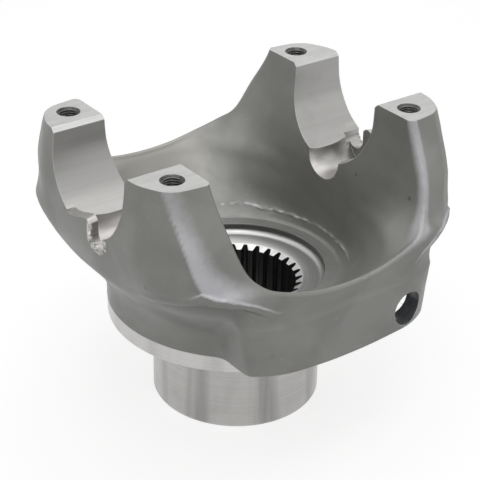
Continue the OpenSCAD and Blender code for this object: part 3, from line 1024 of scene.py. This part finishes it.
def skin_marks(mesh):
    """Values at each point: how much painted highlight, painted shade and painted light the skin gets.

    Each mark is a product of soft ramps and bell curves over height, direction and distance from a line.
    """
    points = triples(mesh.vertices, "co") / MM - SKIN
    x, y, z = points.T
    angle = np.arctan2(y, x)
    whole_turn = np.degrees(angle)
    turn = np.degrees(folded(angle))
    outer = smooth(np.hypot(x, y) - outside(angle, z), -2.2, -1.4)
    inner = 1 - outer
    right_front = smooth(x, 0, 20) * smooth(-y, 0, 20)

    # Corner strip: across runs from 0 to 1 between its edges, and the band of painted highlight ends at the
    # flash
    side_x, side_y, end_x, end_y = strip_edges(z)
    run, rise = end_x - side_x, end_y - side_y
    across = ((np.abs(x) - side_x) * run + (np.abs(y) - side_y) * rise) / (run**2 + rise**2)
    below = flash_line(angle, points) - z
    foot = smooth(z, 120, 108)
    band = smooth(across, -0.15, 0.12) * (1 - smooth(across, 0.25 + 0.4 * foot, 2.0 + 0.9 * foot))
    band = band * (1 - smooth(below, -0.2, 0.3)) * outer * (0.5 + 0.5 * smooth(z, 148, 124))
    band = band * (1 - 0.75 * right_front)

    # Painted highlight on the flash round the corners, on the crest of the rim and on the ridge in the bowl,
    # with a faint ring of it under that ridge
    flash = np.exp(-((below - 0.1) / 0.5) ** 2) * smooth(turn, 40, 44) * (1 - smooth(turn, 60, 68)) * outer
    crest = np.exp(-((z - crest_height(angle)) / 3.2) ** 2)
    crest = crest * (0.08 + 0.6 * right_front * smooth(z, 100, 108))
    far_wall = smooth(whole_turn, -50, -25) * (1 - smooth(whole_turn, 75, 100)) * inner * (z > 69)
    gap = bowl_line(points) - z
    ridge = np.exp(-((gap - 0.1) / 0.4) ** 2) * np.clip(0.5 + 0.9 * waves(points, 41, 5), 0, 1)
    ring = (np.hypot(x, y) < 56) * (z < 80) * smooth(gap, 0.2, 2.5) * 0.2
    painted_highlight = np.clip(0.95 * band + 0.9 * flash + crest + far_wall * ridge + ring, 0, 1)

    # Painted light on the far left wall of the bowl, painted shade in the hollow under the flash, and
    # painted shade on the wall under the right seat
    pale_painted_light = inner * smooth(whole_turn, 58, 80) * (1 - smooth(whole_turn, 150, 170)) * smooth(z, 71, 84)
    pale_painted_light = pale_painted_light * (1 - 0.5 * smooth(z, 98, 116))
    painted_shade = smooth(below, 3.4, 5.2) * np.exp(-np.maximum(below - 5.2, 0) / 14) * outer
    painted_shade = painted_shade * smooth(turn, 20, 32) * (1 - smooth(turn, 52, 58))
    painted_shade = painted_shade + 0.4 * inner * (1 - smooth(np.abs(whole_turn), 38, 60)) * smooth(z, 72, 80)
    return {"painted_highlight": painted_highlight, "painted_shade": painted_shade, "pale_painted_light": pale_painted_light}


def dress(mesh):
    """Gives every face its finish and every point its marks, and smooths edges of up to 27 degrees."""
    mesh.materials.clear()
    for finish in FINISHES:
        mesh.materials.append(finish)
    mesh.polygons.foreach_set("material_index", finish_of_faces(mesh).astype(np.int32))
    for label, values in skin_marks(mesh).items():
        mesh.attributes.new(label, "FLOAT", "POINT").data.foreach_set("value", values.astype(np.float32))
    mesh.polygons.foreach_set("use_smooth", np.ones(len(mesh.polygons), bool))
    mesh.set_sharp_from_angle(angle=math.radians(27))
    mesh.update()


body = yoke()
dress(body.data)
body.name = "yoke_body"
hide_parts("yoke")
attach(body, "root")


def seen_through(tree, first, second):
    """Second shader for what the camera, gloss and clear parts see, first for all other light."""
    rays = add(tree, "ShaderNodeLightPath").outputs
    seen = math_node(tree, "MAXIMUM", rays["Is Camera Ray"], rays["Is Glossy Ray"])
    seen = math_node(tree, "MAXIMUM", seen, rays["Is Transmission Ray"])
    return add(tree, "ShaderNodeMixShader", [(0, seen), (1, first), (2, second)]).outputs[0]


def floor():
    """A large pale disc under the hub, which keeps shadows and is lifted to white where it is seen."""
    sides, radius, height = 96, 2600, -0.2
    turn = np.linspace(0, 2 * math.pi, sides, endpoint=False)
    rim = np.stack([radius * np.cos(turn), radius * np.sin(turn), np.full(sides, height)], -1)
    obj = solid("floor", rim, [list(range(sides))])
    m = bpy.data.materials.new("floor_white")
    m.use_nodes = True
    tree = m.node_tree
    shader = tree.nodes["Principled BSDF"]
    shader.inputs["Base Color"].default_value = (FLOOR_TONE, FLOOR_TONE, FLOOR_TONE, 1)
    shader.inputs["Roughness"].default_value = 0.9
    shader.inputs["Specular IOR Level"].default_value = 0.0
    plain = shader.outputs[0]
    lift = add(tree, "ShaderNodeEmission", [("Color", (1, 1, 1, 1)), ("Strength", FLOOR_LIFT)]).outputs[0]
    lifted = add(tree, "ShaderNodeAddShader", [(0, plain), (1, lift)]).outputs[0]
    tree.links.new(seen_through(tree, plain, lifted), tree.nodes["Material Output"].inputs["Surface"])
    obj.data.materials.append(m)


def studio():
    """White surroundings where they are seen, and a plain level of light from them."""
    world = bpy.data.worlds.new("studio")
    bpy.context.scene.world = world
    world.use_nodes = True
    tree = world.node_tree
    level = tree.nodes["Background"]
    level.inputs["Color"].default_value = (1, 1, 1, 1)
    level.inputs["Strength"].default_value = WORLD_LEVEL
    white = add(tree, "ShaderNodeBackground", [("Color", (1, 1, 1, 1)), ("Strength", 1.0)]).outputs[0]
    tree.links.new(seen_through(tree, level.outputs[0], white), tree.nodes["World Output"].inputs["Surface"])


def lamp(name, turn, rise, far, size, power):
    """A soft oblong light at a direction and height in degrees round the bowl, turned to its middle."""
    data = bpy.data.lights.new(name, "AREA")
    data.shape = "RECTANGLE"
    data.size, data.size_y = size
    data.energy = power
    obj = bpy.data.objects.new(name, data)
    t, e = math.radians(turn), math.radians(rise)
    back = np.array([math.cos(t) * math.cos(e), math.sin(t) * math.cos(e), math.sin(e)])
    right = np.cross([0, 0, 1], back)
    right /= np.linalg.norm(right)
    up = np.cross(back, right)
    obj.matrix_world = Matrix(np.column_stack([right, up, back]).tolist()).to_4x4()
    obj.location = BOWL_MIDDLE + back * far
    obj.visible_camera = False
    bpy.context.scene.collection.objects.link(obj)


# Middle of the bowl in metres, tone and lift of the floor, and level of the surrounding light
BOWL_MIDDLE = np.array([0, 0, 0.1])
FLOOR_TONE = 0.45
FLOOR_LIFT = 0.75
WORLD_LEVEL = 0.2
floor()
studio()
# Lamps: direction, height, distance and sizes in metres, power in watts
lamp("key", -125, 50, 0.9, (0.5, 0.5), 1.15)
lamp("top", 0, 88, 0.9, (0.9, 0.9), 2.6)
lamp("left", 150, 30, 0.9, (0.4, 0.7), 0.5)
lamp("right", -40, 25, 1.0, (0.5, 0.5), 0.3)
lamp("back", 53, 35, 0.9, (0.6, 0.6), 1.0)


def camera():
    """The photograph's view: place, turn, fall and roll worked out from the tapped holes, band and hub."""
    turn, fall, roll = math.radians(53.378), math.radians(28.788), math.radians(0.993)
    right = np.array([math.sin(turn), -math.cos(turn), 0])
    ahead = np.array([math.cos(turn) * math.cos(fall), math.sin(turn) * math.cos(fall), -math.sin(fall)])
    up = np.cross(right, ahead)
    rolled_right = math.cos(roll) * right + math.sin(roll) * up
    rolled_up = -math.sin(roll) * right + math.cos(roll) * up
    obj = bpy.data.objects.new("camera", bpy.data.cameras.new("camera"))
    obj.data.sensor_width = 36
    obj.data.lens = 114.34
    obj.data.clip_start = 0.02
    obj.data.clip_end = 20
    obj.matrix_world = Matrix(np.column_stack([rolled_right, rolled_up, -ahead]).tolist()).to_4x4()
    obj.location = (-0.38758, -0.52341, 0.43971)
    bpy.context.scene.collection.objects.link(obj)
    bpy.context.scene.camera = obj


camera()
bpy.context.scene.view_settings.view_transform = "Standard"
